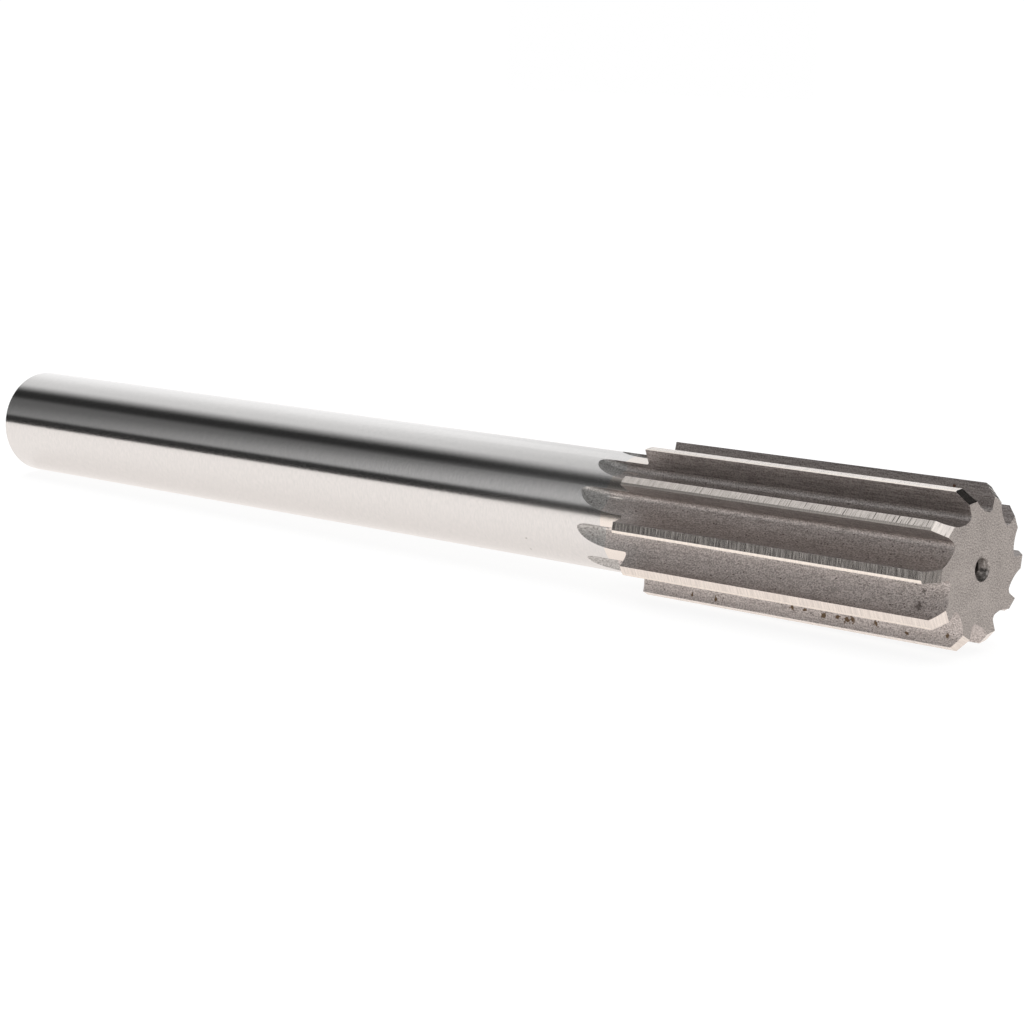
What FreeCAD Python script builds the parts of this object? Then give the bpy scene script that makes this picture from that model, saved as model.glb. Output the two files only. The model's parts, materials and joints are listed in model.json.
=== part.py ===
"""Machine reamer with a straight shank and ten straight flutes, right-hand cutting.

The tool is one piece of high-speed steel. It is turned, its flutes are milled, and its shank,
lands and chamfers are ground. Sizes are in millimetres and angles in degrees.

It is built along X in its own tool frame, with the cutting end's face at x = 0 and the shank
towards -X. A section across the axis has a radial direction and a tangential one. The tangential
one is counter-clockwise seen from the cutting end, which is the way the tool turns in the cut.
Last, the tool is laid down as it rests on a floor at z = 0.
"""
import FreeCAD
import Part

import math
import os

# Shank
shank_diameter = 25.4
overall_length = 292.1
shank_end_chamfer = 0.9

# Fluted head
head_diameter = 32.5
head_length = 79.0
shoulder_fillet = 0.6

# Flutes: a straight rake face, a root fillet and a long hollow back
flute_count = 10
core_radius = 10.64
root_fillet = 1.09
back_radius = 7.67
flute_straight_length = 82.0
flute_cutter_radius = 25.0

# Lands: a narrow cylindrical margin behind each cutting edge, then ground clearance
margin_width = 0.56
land_clearance_angle = 14.0

# Chamfer at the cutting end, one ground flat on each tooth
chamfer_length = 2.5
chamfer_angle = 45.0
chamfer_clearance_angle = 14.0

# Centre holes: a guard cone, the 60 degree bearing cone, a pilot drilling
centre_guard_diameter = 5.1
centre_guard_angle = 120.0
centre_bearing_diameter = 4.1
centre_bearing_angle = 60.0
centre_pilot_diameter = 2.5
centre_pilot_length = 4.6
drill_point_angle = 118.0

# How far the cutting shapes reach past the surfaces that they cut
tool_reach = 3.0

AXIS = FreeCAD.Vector(1, 0, 0)
ORIGIN = FreeCAD.Vector(0, 0, 0)

head_radius = head_diameter / 2
shank_radius = shank_diameter / 2
tooth_pitch = 360.0 / flute_count
outer_radius = head_radius + tool_reach


def tangent(degrees):
    return math.tan(math.radians(degrees))


def section_point(x, radial, tangential):
    return FreeCAD.Vector(x, radial, tangential)


def polar_point(x, radius, angle):
    turn = math.radians(angle)
    return section_point(x, radius * math.cos(turn), radius * math.sin(turn))


def line(start, end):
    return Part.LineSegment(start, end).toShape()


def arc(start, middle, end):
    return Part.Arc(start, middle, end).toShape()


def turned(outline):
    """A solid of revolution about the tool axis, from (x, radius) points that start and end on it."""
    points = [section_point(x, radius, 0) for x, radius in outline]
    profile = Part.Face(Part.makePolygon(points + points[:1]))
    return profile.revolve(ORIGIN, AXIS, 360)


def blank():
    """The turned and ground bar: head, filleted shoulder, shank and its end chamfer."""
    tail = -overall_length
    shoulder = -head_length
    fillet_side = shoulder_fillet * (1 - math.sqrt(0.5))
    head_front = section_point(0, head_radius, 0)
    head_back = section_point(shoulder, head_radius, 0)
    fillet_top = section_point(shoulder, shank_radius + shoulder_fillet, 0)
    fillet_middle = section_point(shoulder - fillet_side, shank_radius + fillet_side, 0)
    fillet_end = section_point(shoulder - shoulder_fillet, shank_radius, 0)
    shank_end = section_point(tail + shank_end_chamfer, shank_radius, 0)
    tail_rim = section_point(tail, shank_radius - shank_end_chamfer, 0)
    tail_middle = section_point(tail, 0, 0)
    outline = Part.Wire([
        line(ORIGIN, head_front),
        line(head_front, head_back),
        line(head_back, fillet_top),
        arc(fillet_top, fillet_middle, fillet_end),
        line(fillet_end, shank_end),
        line(shank_end, tail_rim),
        line(tail_rim, tail_middle),
        line(tail_middle, ORIGIN),
    ])
    return Part.Face(outline).revolve(ORIGIN, AXIS, 360)


def centre_hole():
    """The space of the cutting end's centre hole, opening towards +X."""
    guard = centre_guard_diameter / 2
    bearing = centre_bearing_diameter / 2
    pilot = centre_pilot_diameter / 2
    guard_depth = (guard - bearing) / tangent(centre_guard_angle / 2)
    bearing_depth = guard_depth + (bearing - pilot) / tangent(centre_bearing_angle / 2)
    point_depth = centre_pilot_length + pilot / tangent(drill_point_angle / 2)
    return turned([
        (tool_reach, 0),
        (tool_reach, guard),
        (0, guard),
        (-guard_depth, bearing),
        (-bearing_depth, pilot),
        (-centre_pilot_length, pilot),
        (-point_depth, 0),
    ])


def tail_centre_hole():
    hole = centre_hole()
    hole.rotate(ORIGIN, FreeCAD.Vector(0, 0, 1), 180)
    hole.translate(FreeCAD.Vector(-overall_length, 0, 0))
    return hole


def margin_end_angle():
    """Where the margin of the tooth ahead ends, counted from this tooth's cutting edge."""
    return tooth_pitch - math.degrees(margin_width / head_radius)


def heel():
    """(radial, tangential) of the next tooth's heel, where its clearance meets the flute's back."""
    angle = margin_end_angle()
    start = polar_point(0, head_radius, angle)
    downhill = polar_point(0, 1, angle - 90 - land_clearance_angle)
    centre = section_point(0, core_radius + back_radius, root_fillet)
    offset = start - centre
    along = offset.dot(downhill)
    reach = -along - math.sqrt(along ** 2 - offset.dot(offset) + back_radius ** 2)
    point = start + downhill * reach
    return point.y, point.z


def flute_section(x):
    """The space of one flute and of the clearance behind the next margin, at one place along X."""
    root_middle = root_fillet * (1 - math.sqrt(0.5))
    margin_end = margin_end_angle()
    heel_radial, heel_tangential = heel()
    back_centre = core_radius + back_radius
    heel_angle = math.atan2(heel_tangential - root_fillet, back_centre - heel_radial)

    edge_outside = section_point(x, outer_radius, 0)
    rake_foot = section_point(x, core_radius + root_fillet, 0)
    root = section_point(x, core_radius + root_middle, root_middle)
    flute_floor = section_point(x, core_radius, root_fillet)
    back = section_point(x, back_centre - back_radius * math.cos(heel_angle / 2),
                         root_fillet + back_radius * math.sin(heel_angle / 2))
    heel_corner = section_point(x, heel_radial, heel_tangential)
    margin_corner = polar_point(x, head_radius, margin_end)
    margin_outside = polar_point(x, outer_radius, margin_end)
    outside = polar_point(x, outer_radius, margin_end / 2)
    return Part.Face(Part.Wire([
        line(edge_outside, rake_foot),
        arc(rake_foot, root, flute_floor),
        arc(flute_floor, back, heel_corner),
        line(heel_corner, margin_corner),
        line(margin_corner, margin_outside),
        arc(margin_outside, outside, edge_outside),
    ]))


def flute():
    """The path of the flute cutter: straight along the head, then lifting out through the shank."""
    straight = flute_section(tool_reach)
    straight = straight.extrude(FreeCAD.Vector(-tool_reach - flute_straight_length, 0, 0))
    cutter_axis_height = core_radius + flute_cutter_radius
    lift_angle = math.degrees(math.acos((cutter_axis_height - outer_radius) / flute_cutter_radius))
    cutter_axis = section_point(-flute_straight_length, cutter_axis_height, 0)
    run_out = flute_section(-flute_straight_length)
    run_out = run_out.revolve(cutter_axis, FreeCAD.Vector(0, 0, -1), lift_angle)
    return straight.fuse(run_out)


def tooth_chamfer():
    """The grinding allowance above one tooth's chamfer, which falls away behind the edge."""
    slope = tangent(chamfer_angle)
    corner_drop = chamfer_length * slope
    face_radius = head_radius - corner_drop
    behind_end = chamfer_length + tool_reach / slope
    ahead = 0.5 * tool_reach
    land_room = math.radians(tooth_pitch) * head_radius / 2
    fall = tangent(chamfer_clearance_angle)
    start = FreeCAD.Vector(0, ahead * fall, ahead)
    corners = [
        section_point(tool_reach, face_radius - tool_reach * slope, 0) + start,
        section_point(-behind_end, head_radius + tool_reach, 0) + start,
        section_point(tool_reach, head_radius + tool_reach, 0) + start,
    ]
    allowance = Part.Face(Part.makePolygon(corners + corners[:1]))
    behind_edge = ahead + land_room
    return allowance.extrude(FreeCAD.Vector(0, -fall, -1) * behind_edge)


def around(shape):
    """One copy of a cutting shape for each tooth."""
    copies = []
    for tooth in range(flute_count):
        copy = shape.copy()
        copy.rotate(ORIGIN, AXIS, tooth * tooth_pitch)
        copies.append(copy)
    return copies


def laid_down(tool):
    """Lays the tool on a floor at z = 0, with the middle of its length over the origin.

    It lies on one tooth's cutting edge, the next tooth's heel and the shank's far edge, so the
    axis falls slightly towards the shank's end.
    """
    heel_radial, heel_tangential = heel()
    heel_radius = math.hypot(heel_radial, heel_tangential)
    heel_lead = math.atan2(heel_tangential, heel_radial)
    edge_lean = math.atan((head_radius / heel_radius - math.cos(heel_lead)) / math.sin(heel_lead))
    head_height = head_radius * math.cos(edge_lean)
    bearing_span = overall_length - shank_end_chamfer - head_length
    fall = math.atan((head_height - shank_radius) / bearing_span)
    axis_height = head_length * math.sin(fall) + head_height * math.cos(fall)
    tool.rotate(ORIGIN, AXIS, -90 - math.degrees(edge_lean))
    tool.rotate(ORIGIN, FreeCAD.Vector(0, 1, 0), -math.degrees(fall))
    tool.translate(FreeCAD.Vector(overall_length / 2 * math.cos(fall), 0, axis_height))
    return tool


def reamer():
    tool = blank()
    tool = tool.cut(around(flute()))
    tool = tool.cut(around(tooth_chamfer()))
    tool = tool.cut([centre_hole(), tail_centre_hole()])
    return laid_down(tool.Solids[0])


def main():
    os.makedirs("parts", exist_ok=True)
    tool = reamer()
    tool.exportStep("parts/reamer.step")
    box = tool.optimalBoundingBox()
    print("valid", tool.isValid(), "faces", len(tool.Faces), "volume mm3", round(tool.Volume, 1))
    print("from", round(box.XMin, 3), round(box.YMin, 3), round(box.ZMin, 3))
    print("to", round(box.XMax, 3), round(box.YMax, 3), round(box.ZMax, 3))


main()
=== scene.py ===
import json
import math

import bpy
from mathutils import Euler, Matrix, Vector


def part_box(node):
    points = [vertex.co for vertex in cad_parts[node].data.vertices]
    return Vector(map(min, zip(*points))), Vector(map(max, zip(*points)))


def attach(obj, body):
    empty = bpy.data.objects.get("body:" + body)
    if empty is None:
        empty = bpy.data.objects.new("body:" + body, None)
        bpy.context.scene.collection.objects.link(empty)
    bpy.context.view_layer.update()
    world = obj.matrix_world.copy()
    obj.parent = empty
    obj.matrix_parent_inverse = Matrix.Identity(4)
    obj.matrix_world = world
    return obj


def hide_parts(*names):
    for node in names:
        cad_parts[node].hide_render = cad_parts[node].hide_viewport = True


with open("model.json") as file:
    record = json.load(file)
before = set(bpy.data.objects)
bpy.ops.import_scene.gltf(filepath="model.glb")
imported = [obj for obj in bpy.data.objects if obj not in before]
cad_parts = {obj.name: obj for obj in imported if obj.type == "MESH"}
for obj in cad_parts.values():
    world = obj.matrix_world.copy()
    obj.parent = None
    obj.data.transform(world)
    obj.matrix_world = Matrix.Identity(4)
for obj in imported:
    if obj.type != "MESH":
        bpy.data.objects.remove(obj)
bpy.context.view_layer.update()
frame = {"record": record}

# The finished look of a machine reamer. It is ground from one piece of high-speed steel, so it is
# one piece here too, with a material for each way in which its surfaces were made.
# The tool is shaped in its own frame, in metres: the cutting end's face at x = 0, the shank
# towards -X. A section has a radial direction, +Y, and a tangential one, +Z, for the tooth at
# angle 0. Last, it is laid down where the frame has it.

MM = 0.001
mounts = {mount["name"]: mount for mount in frame["record"]["mounts"]}

# Sizes that the frame gives
front_centre = Vector(mounts["cutting_end_centre"]["pos_m"])
tail_centre = Vector(mounts["tail_centre"]["pos_m"])
tool_axis = Vector(mounts["cutting_end_centre"]["axis"]).normalized()
overall_length = (front_centre - tail_centre).length
shank_radius = mounts["shank"]["dims"]["r_mm"] * MM
head_low, head_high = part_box("reamer")
head_radius = (head_high.y - head_low.y) / 2

# Sizes of the blank, as in the solid
shank_end_chamfer = 0.9 * MM
head_length = 79.0 * MM
shoulder_fillet = 0.6 * MM

# Sizes of the flutes, lands and chamfers
flute_count = 10
core_radius = 10.64 * MM
root_fillet = 1.09 * MM
back_radius = 7.67 * MM
flute_straight_length = 82.0 * MM
flute_cutter_radius = 25.0 * MM
margin_width = 0.56 * MM
land_clearance_angle = math.radians(14)
chamfer_length = 2.5 * MM
chamfer_clearance_angle = math.radians(14)

# Sizes of the centre holes
centre_guard_radius = 2.55 * MM
centre_bearing_radius = 2.05 * MM
centre_pilot_radius = 1.25 * MM
centre_pilot_length = 4.6 * MM
guard_half_angle = math.radians(60)
bearing_half_angle = math.radians(30)
drill_half_angle = math.radians(59)

# Wear. The flutes and the front of the shank were reground as far as this border behind the cutting
# end's face. Each spot is given by its x, radial and tangential place and its size, in mm.
regrind_border = 85.3 * MM
rust_pits = [(-66.0, 14.7, -2.3, 0.7), (-59.7, 14.6, -2.3, 1.1), (-40.4, 13.5, -2.5, 1.0),
             (-37.2, 13.6, -2.4, 0.9), (-32.7, 14.0, -2.4, 1.4), (-29.1, 13.8, -2.4, 1.0),
             (-26.9, 14.0, -2.4, 1.3), (-25.6, 13.7, -2.4, 1.2), (-20.0, 13.7, -2.4, 1.1),
             (-12.9, 14.5, -2.3, 0.8), (-3.6, 13.7, -2.4, 0.9)]
flute_dirt = [(-6.0, 9.1, -9.8, 1.6), (-5.8, 6.2, -9.4, 1.0)]
rake_stain = [(-9.5, -14.8, 0.0, 0.8)]
shank_specks = [(-107.9, 9.0, -9.0, 0.5), (-108.5, 11.1, -6.2, 0.4)]

# How finely round shapes are divided
round_sides = 288
hole_sides = 72
root_steps = 12
back_steps = 24
run_out_steps = 28
fillet_steps = 9

tool_reach = 3.0 * MM
tooth_pitch = 2 * math.pi / flute_count
outer_radius = head_radius + tool_reach
past_the_blank = outer_radius * 1.05
X_AXIS = Vector((1, 0, 0))


# ---------------------------------------------------------------- modelling helpers

def deselect_all():
    bpy.ops.object.select_all(action="DESELECT")


def make_active(piece):
    deselect_all()
    piece.select_set(True)
    bpy.context.view_layer.objects.active = piece


def select_all_parts():
    bpy.ops.mesh.select_all(action="SELECT")


def turned(name, stations, sides):
    """A closed turned shape about the tool axis, from (x, radius) stations. A radius of 0 is a point."""
    deselect_all()
    x, radius = stations[0]
    bpy.ops.mesh.primitive_circle_add(vertices=sides, radius=radius, fill_type="NGON",
                                      location=(x, 0, 0), rotation=(0, math.pi / 2, 0))
    piece = bpy.context.object
    piece.name = name
    bpy.ops.object.transform_apply(location=True, rotation=True, scale=True)
    bpy.ops.object.mode_set(mode="EDIT")
    select_all_parts()
    for next_x, next_radius in stations[1:]:
        bpy.ops.mesh.extrude_region_move(TRANSFORM_OT_translate={"value": (next_x - x, 0, 0)})
        if next_radius == 0:
            bpy.ops.mesh.merge(type="CENTER")
        elif next_radius != radius:
            grow = next_radius / radius
            bpy.ops.transform.resize(value=(1, grow, grow), center_override=(next_x, 0, 0))
        x, radius = next_x, next_radius
    select_all_parts()
    bpy.ops.mesh.normals_make_consistent(inside=False)
    bpy.ops.object.mode_set(mode="OBJECT")
    return piece


def cut_away(piece, cutter):
    make_active(piece)
    cut = piece.modifiers.new("cut", "BOOLEAN")
    cut.operation = "DIFFERENCE"
    cut.solver = "EXACT"
    cut.object = cutter
    bpy.ops.object.modifier_apply(modifier=cut.name)
    bpy.data.objects.remove(cutter, do_unlink=True)


def around_the_axis(cutter):
    """One cutter for each tooth, all in one object."""
    copies = [cutter]
    for tooth in range(1, flute_count):
        copy = cutter.copy()
        copy.data = cutter.data.copy()
        bpy.context.collection.objects.link(copy)
        copy.rotation_euler = (tooth * tooth_pitch, 0, 0)
        copies.append(copy)
    make_active(cutter)
    for copy in copies:
        copy.select_set(True)
    bpy.ops.object.transform_apply(location=True, rotation=True, scale=True)
    bpy.ops.object.join()
    return cutter


# ---------------------------------------------------------------- the reamer's shape

def heel():
    """(radial, tangential) of the next tooth's heel, where its clearance meets the flute's back."""
    angle = tooth_pitch - margin_width / head_radius
    start = Vector((math.cos(angle), math.sin(angle))) * head_radius
    fall_angle = angle - math.pi / 2 - land_clearance_angle
    downhill = Vector((math.cos(fall_angle), math.sin(fall_angle)))
    offset = start - Vector((core_radius + back_radius, root_fillet))
    along = offset.dot(downhill)
    reach = -along - math.sqrt(along ** 2 - offset.length_squared + back_radius ** 2)
    return start + downhill * reach


def blank():
    """The turned bar: shank with its end chamfer, filleted shoulder, head."""
    shoulder = -head_length
    stations = [(-overall_length, shank_radius - shank_end_chamfer),
                (-overall_length + shank_end_chamfer, shank_radius)]
    for step in range(fillet_steps + 1):
        turn = math.pi / 2 * step / fillet_steps
        stations.append((shoulder - shoulder_fillet * (1 - math.sin(turn)),
                         shank_radius + shoulder_fillet * (1 - math.cos(turn))))
    stations += [(shoulder, head_radius), (0, head_radius)]
    return turned("reamer_body", stations, round_sides)


def centre_hole_cutter():
    """The space of the cutting end's centre hole: guard cone, bearing cone, pilot drilling."""
    guard_depth = (centre_guard_radius - centre_bearing_radius) / math.tan(guard_half_angle)
    bearing_length = (centre_bearing_radius - centre_pilot_radius) / math.tan(bearing_half_angle)
    bearing_depth = guard_depth + bearing_length
    point_depth = centre_pilot_length + centre_pilot_radius / math.tan(drill_half_angle)
    stations = [(tool_reach, centre_guard_radius), (0, centre_guard_radius),
                (-guard_depth, centre_bearing_radius), (-bearing_depth, centre_pilot_radius),
                (-centre_pilot_length, centre_pilot_radius), (-point_depth, 0)]
    return turned("centre_hole_cutter", stations, hole_sides)


def tail_hole_cutter():
    cutter = centre_hole_cutter()
    make_active(cutter)
    cutter.rotation_euler = (0, 0, math.pi)
    cutter.location = (-overall_length, 0, 0)
    bpy.ops.object.transform_apply(location=True, rotation=True, scale=True)
    return cutter


def step_to(here, place):
    """Draws one straight edge of an outline from the selected point."""
    bpy.ops.mesh.extrude_region_move(TRANSFORM_OT_translate={"value": place - here})
    return place


def flute_cutter():
    """The space of the flutes and of the lands' clearance: a section, run straight, then lifted out."""
    heel_radial, heel_tangential = heel()
    margin_end = tooth_pitch - margin_width / head_radius
    margin_line = Vector((0, math.cos(margin_end), math.sin(margin_end)))
    back_centre = Vector((tool_reach, core_radius + back_radius, root_fillet))
    heel_angle = math.atan2(heel_tangential - root_fillet, back_centre.y - heel_radial)
    start = Vector((tool_reach, outer_radius, 0))

    deselect_all()
    bpy.ops.mesh.primitive_plane_add(size=MM, location=start)
    cutter = bpy.context.object
    cutter.name = "flute_cutter"
    bpy.ops.object.transform_apply(location=True, rotation=True, scale=True)
    bpy.ops.object.mode_set(mode="EDIT")
    select_all_parts()
    bpy.ops.mesh.merge(type="CENTER")
    step_to(start, Vector((tool_reach, core_radius + root_fillet, 0)))
    root_centre = (tool_reach, core_radius + root_fillet, root_fillet)
    bpy.ops.mesh.spin(steps=root_steps, angle=math.pi / 2, center=root_centre, axis=(1, 0, 0))
    bpy.ops.mesh.spin(steps=back_steps, angle=heel_angle, center=back_centre, axis=(1, 0, 0))
    here = Vector((tool_reach, heel_radial, heel_tangential))
    here = step_to(here, X_AXIS * tool_reach + margin_line * head_radius)
    step_to(here, X_AXIS * tool_reach + margin_line * past_the_blank)
    select_all_parts()
    bpy.ops.mesh.edge_face_add()
    straight_run = -tool_reach - flute_straight_length
    bpy.ops.mesh.extrude_region_move(TRANSFORM_OT_translate={"value": (straight_run, 0, 0)})
    cutter_height = core_radius + flute_cutter_radius
    lift_angle = math.acos((cutter_height - outer_radius) / flute_cutter_radius)
    bpy.ops.mesh.spin(steps=run_out_steps, angle=lift_angle, axis=(0, 0, 1),
                      center=(-flute_straight_length, cutter_height, 0))
    select_all_parts()
    bpy.ops.mesh.normals_make_consistent(inside=False)
    bpy.ops.object.mode_set(mode="OBJECT")
    return around_the_axis(cutter)


def chamfer_cutter():
    """What is ground off above each tooth's chamfer: a wedge that falls away behind the edge."""
    face_radius = head_radius - chamfer_length
    behind_end = chamfer_length + tool_reach
    ahead = 0.5 * tool_reach
    land_room = tooth_pitch * head_radius / 2
    fall = math.tan(chamfer_clearance_angle)
    start = Vector((0, ahead * fall, ahead))
    front_corner = Vector((tool_reach, face_radius - tool_reach, 0)) + start
    back_corner = Vector((-behind_end, outer_radius, 0)) + start
    top_corner = Vector((tool_reach, outer_radius, 0)) + start

    deselect_all()
    bpy.ops.mesh.primitive_plane_add(size=MM, location=front_corner)
    cutter = bpy.context.object
    cutter.name = "chamfer_cutter"
    bpy.ops.object.transform_apply(location=True, rotation=True, scale=True)
    bpy.ops.object.mode_set(mode="EDIT")
    select_all_parts()
    bpy.ops.mesh.merge(type="CENTER")
    step_to(front_corner, back_corner)
    step_to(back_corner, top_corner)
    select_all_parts()
    bpy.ops.mesh.edge_face_add()
    behind_edge = Vector((0, -fall, -1)) * (ahead + land_room)
    bpy.ops.mesh.extrude_region_move(TRANSFORM_OT_translate={"value": behind_edge})
    select_all_parts()
    bpy.ops.mesh.normals_make_consistent(inside=False)
    bpy.ops.object.mode_set(mode="OBJECT")
    return around_the_axis(cutter)


# ---------------------------------------------------------------- resting on the floor

def rest_turn():
    """How the tool is turned from its own frame to where it lies, as an XYZ Euler."""
    heel_radial, heel_tangential = heel()
    heel_radius = math.hypot(heel_radial, heel_tangential)
    heel_lead = math.atan2(heel_tangential, heel_radial)
    edge_lean = math.atan((head_radius / heel_radius - math.cos(heel_lead)) / math.sin(heel_lead))
    fall = math.asin(tool_axis.z)
    return Euler((-math.pi / 2 - edge_lean, -fall, 0), "XYZ")


def lay_down(piece):
    make_active(piece)
    piece.rotation_euler = rest_turn()
    piece.location = front_centre
    bpy.ops.object.transform_apply(location=True, rotation=True, scale=True)


def faces_the_cut(centre, normal):
    """Whether a face is a tooth's flat rake face, which looks the way that the tool turns."""
    tooth = round(math.atan2(centre.z, centre.y) / tooth_pitch) * tooth_pitch
    ahead = Vector((0, -math.sin(tooth), math.cos(tooth)))
    return normal.dot(ahead) > 0.999


def finish_of(centre, normal):
    """How a face was made, from its place and its normal in the tool's frame."""
    square = 0.99
    round_the_axis = math.cos(math.radians(1))
    nearly_outward = 0.96
    facing_ahead = 0.3
    hole_reach = 2 * centre_pilot_length
    chamfer_reach = 1.2 * chamfer_length
    land_inner_radius = 15.8 * MM
    from_axis = math.hypot(centre.y, centre.z)
    outward = (normal.y * centre.y + normal.z * centre.z) / max(from_axis, MM)
    near_an_end = centre.x > -hole_reach or centre.x < hole_reach - overall_length
    on_the_head = centre.x > -head_length
    if from_axis < centre_guard_radius and near_an_end:
        return "centre"
    if normal.x < -square or centre.x < shank_end_chamfer - overall_length:
        return "turned"
    if normal.x > square:
        return "end"
    if normal.x > facing_ahead and centre.x > -chamfer_reach:
        return "land"
    if outward > round_the_axis and on_the_head:
        return "margin"
    if outward > nearly_outward and from_axis > land_inner_radius and on_the_head:
        return "land"
    if outward > square and centre.x < -head_length:
        return "shank"
    if faces_the_cut(centre, normal):
        return "rake"
    return "flute"


def finish_faces(piece, materials):
    """Gives each face the material for how it was made."""
    for material in materials.values():
        piece.data.materials.append(material)
    slots = {name: index for index, name in enumerate(materials)}
    for face in piece.data.polygons:
        face.material_index = slots[finish_of(face.center, face.normal)]


# ---------------------------------------------------------------- materials

# Real marks of grinding and hardening are finer than these. They are drawn 0.25 to 0.6 mm wide, so
# that they show.

def linear(hex_colour):
    """An sRGB hex colour as linear RGBA."""
    channels = [int(hex_colour[i:i + 2], 16) / 255 for i in (1, 3, 5)]
    return tuple(c / 12.92 if c <= 0.04045 else ((c + 0.055) / 1.055) ** 2.4 for c in channels) + (1,)


def add_node(tree, kind, settings=None, inputs=None, output=0):
    """One output of a new node of that kind. A hex colour, a value or another node's output goes into
    each input."""
    node = tree.nodes.new(kind)
    for name, value in (settings or {}).items():
        setattr(node, name, value)
    for name, value in (inputs or {}).items():
        if isinstance(value, bpy.types.NodeSocket):
            tree.links.new(value, node.inputs[name])
        else:
            node.inputs[name].default_value = linear(value) if isinstance(value, str) else value
    return node.outputs[output]


def combine(tree, operation, first, *others):
    """One value from several, by a Math operation."""
    for other in others:
        first = add_node(tree, "ShaderNodeMath", {"operation": operation}, {0: first, 1: other})
    return first


def soft_steps(tree, *steps):
    """The product of soft steps: each is (value, low, high), rising from 0 to 1 as the value goes from
    low to high, or has its own two ends after these."""
    risen = []
    for value, low, high, *ends in steps:
        start, end = ends or (0.0, 1.0)
        risen.append(add_node(tree, "ShaderNodeMapRange", {"interpolation_type": "SMOOTHSTEP"},
                              {"Value": value, "From Min": low, "From Max": high,
                               "To Min": start, "To Max": end}))
    return combine(tree, "MULTIPLY", *risen)


def painted(tree, ground, *coats):
    """A ground colour with coats over it, each given by where it shows, 0 to 1, and its colour."""
    for cover, colour in coats:
        ground = add_node(tree, "ShaderNodeMix", {"data_type": "RGBA"}, {0: cover, 6: ground, 7: colour}, 2)
    return ground


def grain(tree, place, along, across, detail=2.0):
    """Noise about 0.5, with marks about so many metres long along the tool and so many across it."""
    stretch = (1 / along, 1 / across, 1 / across)
    spot = add_node(tree, "ShaderNodeVectorMath", {"operation": "MULTIPLY"}, {0: place, 1: stretch})
    return add_node(tree, "ShaderNodeTexNoise", None,
                    {"Vector": spot, "Scale": 1.0, "Detail": detail, "Roughness": 0.55}, "Fac")


def blots(tree, place, spots):
    """Where ragged spots are, 0 to 1."""
    ragged = soft_steps(tree, (grain(tree, place, 0.5 * MM, 0.5 * MM, 3.0), 0.3, 0.7, 0.5, 1.8))
    found = []
    for x, radial, tangential, size in spots:
        middle = Vector((x, radial, tangential)) * MM
        away = add_node(tree, "ShaderNodeVectorMath", {"operation": "DISTANCE"},
                        {0: place, 1: middle}, "Value")
        reach = combine(tree, "MULTIPLY", away, ragged)
        found.append(soft_steps(tree, (reach, size * MM * 0.6, size * MM * 0.35)))
    return combine(tree, "MAXIMUM", *found)


def in_front_of_border(tree, place, softness):
    """1 on the reground length and 0 behind it."""
    along = add_node(tree, "ShaderNodeSeparateXYZ", None, {0: place}, "X")
    return soft_steps(tree, (along, -regrind_border - softness, -regrind_border + softness))


def new_steel(name, roughness):
    """A new metal material: itself, its tree, its shader, and the place in the tool's own frame."""
    material = bpy.data.materials.new(name)
    material.use_nodes = True
    tree = material.node_tree
    shader = tree.nodes["Principled BSDF"]
    shader.inputs["Metallic"].default_value = 1
    shader.inputs["Roughness"].default_value = roughness
    laid_place = add_node(tree, "ShaderNodeTexCoord", output="Object")
    place = add_node(tree, "ShaderNodeMapping", {"vector_type": "TEXTURE"},
                     {"Vector": laid_place, "Location": front_centre, "Rotation": rest_turn()})
    return material, tree, shader, place


def surface(tree, shader, colour, height, depth):
    """Gives the shader its colour, and bump of that depth, in metres, from a height of 0 to 1."""
    tree.links.new(colour, shader.inputs["Base Color"])
    normal = add_node(tree, "ShaderNodeBump", None, {"Height": height, "Strength": 1.0, "Distance": depth})
    tree.links.new(normal, shader.inputs["Normal"])


def ground_shank():
    """Mirror-like along the tool, with faint rings from the wheel. The flutes' regrinding reached a
    little onto it, which leaves it cleaner and warmer in front of the border."""
    material, tree, shader, place = new_steel("Cylindrically ground high-speed steel", 0.14)
    rings = grain(tree, place, 0.3 * MM, 1.2 * MM, 3.0)
    colour = painted(tree, "#d8d7d6",
                     (soft_steps(tree, (rings, 0.3, 0.7)), "#dfdddc"),
                     (blots(tree, place, shank_specks), "#a09890"),
                     (in_front_of_border(tree, place, 0.1 * MM), "#ebe3dc"))
    along = add_node(tree, "ShaderNodeSeparateXYZ", None, {0: place}, "X")
    roughness = soft_steps(tree, (along, -150 * MM, -92 * MM, 0.14, 0.19))
    tree.links.new(roughness, shader.inputs["Roughness"])
    surface(tree, shader, colour, rings, 0.012 * MM)
    return material


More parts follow.
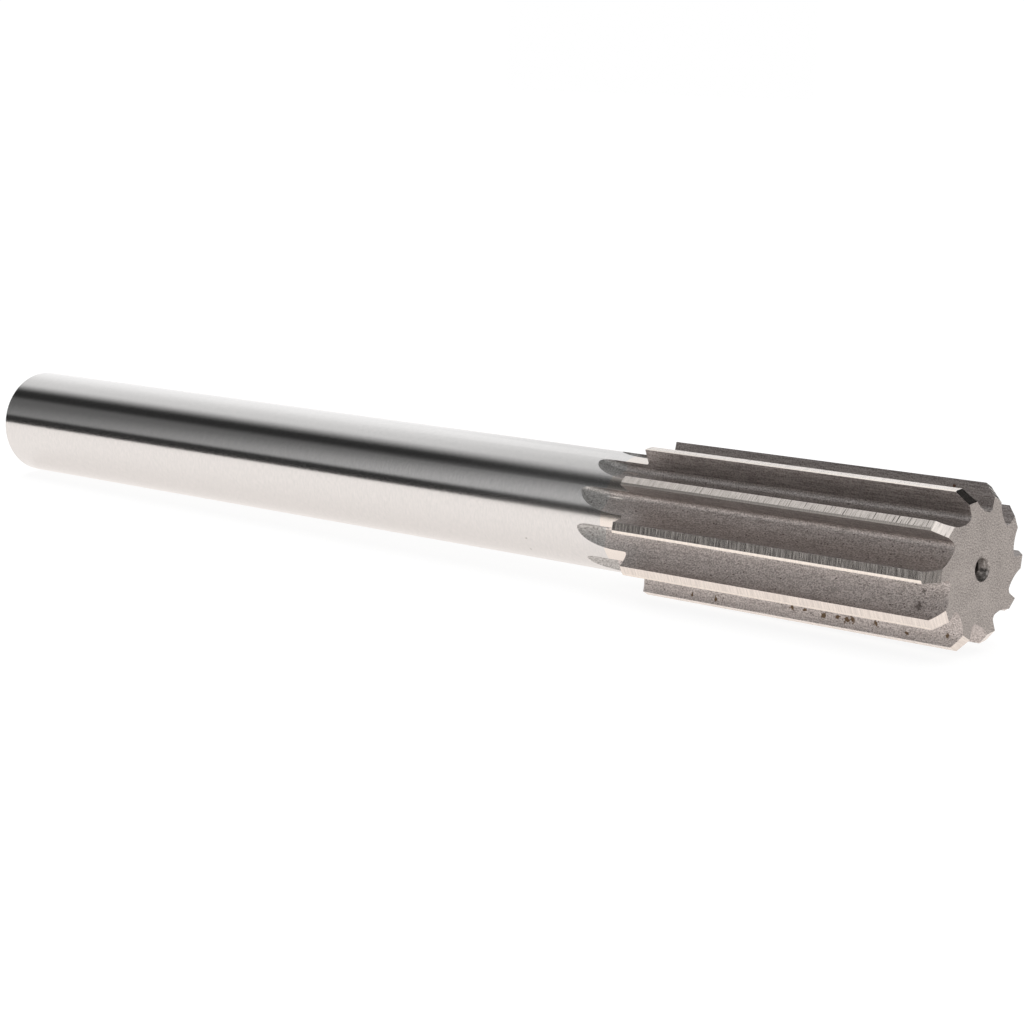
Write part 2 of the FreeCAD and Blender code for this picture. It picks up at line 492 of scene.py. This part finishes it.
def milled_flute():
    """Dull and leathery from milling and hardening, with fine dark pores. The run-outs are greyer
    behind the border of the regrinding. Rust has pitted one tooth's back."""
    material, tree, shader, place = new_steel("Milled and hardened high-speed steel", 0.5)
    grit = grain(tree, place, 0.36 * MM, 0.28 * MM)
    drawn = grain(tree, place, 4 * MM, 0.5 * MM)
    tone = add_node(tree, "ShaderNodeMix", {"data_type": "FLOAT"}, {0: 0.8, 2: drawn, 3: grit})
    pores = grain(tree, place, 0.6 * MM, 0.45 * MM, 1.0)
    rust = blots(tree, place, rust_pits)
    dirt_and_mottle = combine(tree, "MULTIPLY", blots(tree, place, flute_dirt), 0.7)
    reground = in_front_of_border(tree, place, 0.15 * MM)
    reground_colour = painted(tree, "#a8a19e", (soft_steps(tree, (tone, 0.36, 0.64)), "#dfd8d5"))
    run_out_colour = painted(tree, "#a3a19f", (soft_steps(tree, (grit, 0.36, 0.64)), "#cfcdcb"))
    colour = painted(tree, run_out_colour,
                     (reground, reground_colour),
                     (soft_steps(tree, (pores, 0.68, 0.74)), "#6e6764"),
                     (rust, "#6b563f"),
                     (dirt_and_mottle, "#5f5854"))
    tree.links.new(soft_steps(tree, (rust, 0.2, 0.8, 1, 0.3)), shader.inputs["Metallic"])
    tree.links.new(soft_steps(tree, (reground, 0, 1, 0.42, 0.47)), shader.inputs["Roughness"])
    surface(tree, shader, colour, grit, 0.13 * MM)
    return material


def ground_rake():
    """Drawn streaks along the tooth, from a wheel that ran the length of the flute."""
    material, tree, shader, place = new_steel("Ground rake face", 0.48)
    drawn = grain(tree, place, 6 * MM, 0.35 * MM, 3.0)
    grit = grain(tree, place, 0.36 * MM, 0.3 * MM)
    tone = add_node(tree, "ShaderNodeMix", {"data_type": "FLOAT"}, {0: 0.4, 2: grit, 3: drawn})
    colour = painted(tree, "#867f7c",
                     (soft_steps(tree, (tone, 0.36, 0.64)), "#bcb4b1"),
                     (blots(tree, place, rake_stain), "#6a4f42"))
    surface(tree, shader, colour, tone, 0.12 * MM)
    return material


def ground_land():
    """Bright, with striations across the land from the clearance wheel."""
    material, tree, shader, place = new_steel("Ground land", 0.2)
    marks = grain(tree, place, 0.6 * MM, 8 * MM)
    fine_marks = grain(tree, place, 0.3 * MM, 5 * MM)
    colour = painted(tree, "#dad2cc", (soft_steps(tree, (fine_marks, 0.3, 0.7)), "#eae2db"))
    surface(tree, shader, colour, marks, 0.2 * MM)
    return material


def ground_margin():
    """The brightest surface: a narrow cylinder that was ground last, with fine marks round the tool."""
    material, tree, shader, place = new_steel("Cylindrically ground margin", 0.14)
    marks = grain(tree, place, 0.3 * MM, 3 * MM)
    colour = painted(tree, "#e6ded6", (soft_steps(tree, (marks, 0.3, 0.7)), "#f0e8e0"))
    surface(tree, shader, colour, marks, 0.01 * MM)
    return material


def end_face():
    """Even and dull, with the fine speckle of a faced and hardened end."""
    material, tree, shader, place = new_steel("Faced and hardened end", 0.42)
    speckle = grain(tree, place, 0.3 * MM, 0.3 * MM)
    cloud = grain(tree, place, 4 * MM, 4 * MM)
    tone = add_node(tree, "ShaderNodeMix", {"data_type": "FLOAT"}, {0: 0.85, 2: cloud, 3: speckle})
    colour = painted(tree, "#928d8a", (soft_steps(tree, (tone, 0.36, 0.64)), "#c0bab6"))
    surface(tree, shader, colour, speckle, 0.09 * MM)
    return material


def turned_end():
    """Turned and left: fine rings round the centre, duller than the ground shank."""
    material, tree, shader, place = new_steel("Turned end of the shank", 0.32)
    across = add_node(tree, "ShaderNodeVectorMath", {"operation": "MULTIPLY"}, {0: place, 1: (0, 1, 1)})
    from_axis = add_node(tree, "ShaderNodeVectorMath", {"operation": "LENGTH"}, {0: across}, "Value")
    rings = add_node(tree, "ShaderNodeTexNoise", {"noise_dimensions": "1D"},
                     {"W": from_axis, "Scale": 1 / (0.25 * MM), "Detail": 2.0}, "Fac")
    colour = painted(tree, "#b4afab", (soft_steps(tree, (rings, 0.3, 0.7)), "#cdc8c4"))
    surface(tree, shader, colour, rings, 0.03 * MM)
    return material


def centre_drilled():
    """Duller and darker than the end around it: the darker colour is painted shade of the hole, with
    lighter mottling.
    """
    material, tree, shader, place = new_steel("Centre-drilled steel", 0.42)
    dirt_and_mottle = grain(tree, place, 0.5 * MM, 0.5 * MM)
    # The dark ground colour is painted shade of the hole; the noise lightens it in patches.
    colour = painted(tree, "#807b78", (soft_steps(tree, (dirt_and_mottle, 0.4, 0.65)), "#b5b0ac"))
    surface(tree, shader, colour, dirt_and_mottle, 0.02 * MM)
    return material


def reamer_materials():
    """A material for each way in which a face was made."""
    return {
        "shank": ground_shank(),
        "flute": milled_flute(),
        "rake": ground_rake(),
        "land": ground_land(),
        "margin": ground_margin(),
        "end": end_face(),
        "turned": turned_end(),
        "centre": centre_drilled(),
    }


# ---------------------------------------------------------------- the reamer

def reamer():
    """The blank with everything cut from it, dressed, and laid down."""
    weld_distance = 0.002 * MM
    smooth_below = math.radians(12)
    piece = blank()
    cut_away(piece, flute_cutter())
    cut_away(piece, chamfer_cutter())
    cut_away(piece, centre_hole_cutter())
    cut_away(piece, tail_hole_cutter())
    make_active(piece)
    bpy.ops.object.mode_set(mode="EDIT")
    select_all_parts()
    bpy.ops.mesh.remove_doubles(threshold=weld_distance)
    bpy.ops.mesh.normals_make_consistent(inside=False)
    bpy.ops.object.mode_set(mode="OBJECT")
    finish_faces(piece, reamer_materials())
    bpy.ops.object.shade_smooth_by_angle(angle=smooth_below)
    lay_down(piece)
    return piece


body = reamer()
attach(body, "root")
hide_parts("reamer")


# ---------------------------------------------------------------- floor, light and camera

def light_table():
    """The pale floor, which glows evenly, a little warm, so that the undersides are lit as well."""
    front_edge = -0.36
    back_edge = 1.6
    half_width = 1.6
    deselect_all()
    bpy.ops.mesh.primitive_plane_add(size=1, location=(0, (front_edge + back_edge) / 2, 0))
    table = bpy.context.object
    table.name = "light_table"
    table.scale = (2 * half_width, back_edge - front_edge, 1)
    bpy.ops.object.transform_apply(location=True, rotation=True, scale=True)
    sheet = bpy.data.materials.new("Glowing white acrylic sheet")
    sheet.use_nodes = True
    tree = sheet.node_tree
    shader = tree.nodes["Principled BSDF"]
    shader.inputs["Base Color"].default_value = (0.16, 0.16, 0.16, 1)
    shader.inputs["Roughness"].default_value = 1
    shader.inputs["Specular IOR Level"].default_value = 0
    camera_ray = add_node(tree, "ShaderNodeLightPath", output="Is Camera Ray")
    glow = painted(tree, "#f9f3ef", (camera_ray, "#f5f5f5"))
    tree.links.new(glow, shader.inputs["Emission Color"])
    shader.inputs["Emission Strength"].default_value = 0.98
    table.data.materials.append(sheet)


def studio_walls():
    """The soft boxes and dark walls that the steel mirrors; the camera itself sees white.

    They are drawn by three measures of a direction. Over is degrees up from the front horizon, over the
    top to the back. Compass is degrees from the front, to the left below 0. Sideways is its share to the
    right, from -1 to 1.
    """
    world = bpy.data.worlds.new("Soft studio")
    bpy.context.scene.world = world
    world.use_nodes = True
    tree = world.node_tree
    direction = add_node(tree, "ShaderNodeTexCoord", output="Generated")
    sideways = add_node(tree, "ShaderNodeSeparateXYZ", None, {0: direction}, "X")
    back = add_node(tree, "ShaderNodeSeparateXYZ", None, {0: direction}, "Y")
    up = add_node(tree, "ShaderNodeSeparateXYZ", None, {0: direction}, "Z")
    front = combine(tree, "MULTIPLY", back, -1.0)
    above = combine(tree, "MAXIMUM", up, 0.0001)
    to_degrees = 180 / math.pi
    over = combine(tree, "MULTIPLY", combine(tree, "ARCTAN2", above, front), to_degrees)
    compass = combine(tree, "MULTIPLY", combine(tree, "ARCTAN2", sideways, front), to_degrees)

    # A large box overhead and behind. Its front edge slants, and a seam dims it at left.
    slanted = combine(tree, "ADD", over, soft_steps(tree, (sideways, -0.9, -0.4, -12, 16)))
    overhead = soft_steps(tree, (slanted, 68, 96, 0, 0.78))
    behind = soft_steps(tree, (slanted, 96, 145, 0, 0.26))
    from_seam = add_node(tree, "ShaderNodeMath", {"operation": "ABSOLUTE"},
                         {0: combine(tree, "ADD", sideways, 0.645)})
    edges = soft_steps(tree, (from_seam, 0.02, 0.06, 0.84, 1), (sideways, -0.2, -0.52))
    back_box = combine(tree, "MULTIPLY", combine(tree, "ADD", overhead, behind), edges)

    # A grey card in front, brighter towards the right
    card_edges = soft_steps(tree, (over, 12.5, 18.5), (over, 65, 55), (sideways, 0.2, -0.2))
    card_left = soft_steps(tree, (compass, -63, -37, 0.11, 0.66))
    card_right = soft_steps(tree, (compass, -38, -15, 0, 0.25))
    grey_card = combine(tree, "MULTIPLY", card_edges, combine(tree, "ADD", card_left, card_right))

    # A box high at right, and a weak fill low at right
    side_box = soft_steps(tree, (over, 50, 70), (over, 130, 108), (sideways, 0.3, 0.5, 0, 1.05))
    side_fill = soft_steps(tree, (over, 40, 20), (sideways, 0.4, 0.7, 0, 0.2))

    dark_wall = 0.025
    light = combine(tree, "ADD", back_box, grey_card, side_box, side_fill, dark_wall)
    camera_ray = add_node(tree, "ShaderNodeLightPath", output="Is Camera Ray")
    light = combine(tree, "MAXIMUM", light, camera_ray)
    tree.links.new(light, tree.nodes["Background"].inputs["Color"])


def soft_overhead_light():
    """Broad light from above that whitens the floor and gives the tool its soft shadow."""
    lamp = bpy.data.lights.new("overhead_light", "SUN")
    lamp.energy = 2.6
    lamp.angle = math.radians(80)
    holder = bpy.data.objects.new("overhead_light", lamp)
    holder.rotation_euler = (math.radians(-15), math.radians(-10), 0)
    holder.visible_glossy = False
    bpy.context.collection.objects.link(holder)


def studio_camera():
    """The camera, from where it stands, its azimuth about the tool, its height and its slight roll."""
    stand = Vector((0.421053, -0.418847, 0.129915))
    azimuth = math.radians(43.5013)
    elevation = math.radians(11.6306)
    roll = math.radians(-0.5185)
    level_back = Vector((math.sin(azimuth), -math.cos(azimuth), 0))
    back = math.cos(elevation) * level_back + math.sin(elevation) * Vector((0, 0, 1))
    level_right = (-back).cross(Vector((0, 0, 1))).normalized()
    level_up = level_right.cross(-back)
    right = math.cos(roll) * level_right + math.sin(roll) * level_up
    up = math.cos(roll) * level_up - math.sin(roll) * level_right
    place = Matrix((right, up, back)).transposed().to_4x4()
    place.translation = stand
    camera = bpy.data.cameras.new("studio_camera")
    camera.sensor_width = 36
    camera.lens = 94.06
    holder = bpy.data.objects.new("studio_camera", camera)
    holder.matrix_world = place
    bpy.context.collection.objects.link(holder)
    bpy.context.scene.camera = holder


light_table()
studio_walls()
soft_overhead_light()
studio_camera()
scene = bpy.context.scene
scene.view_settings.view_transform = "Standard"

bpy.context.view_layer.update()
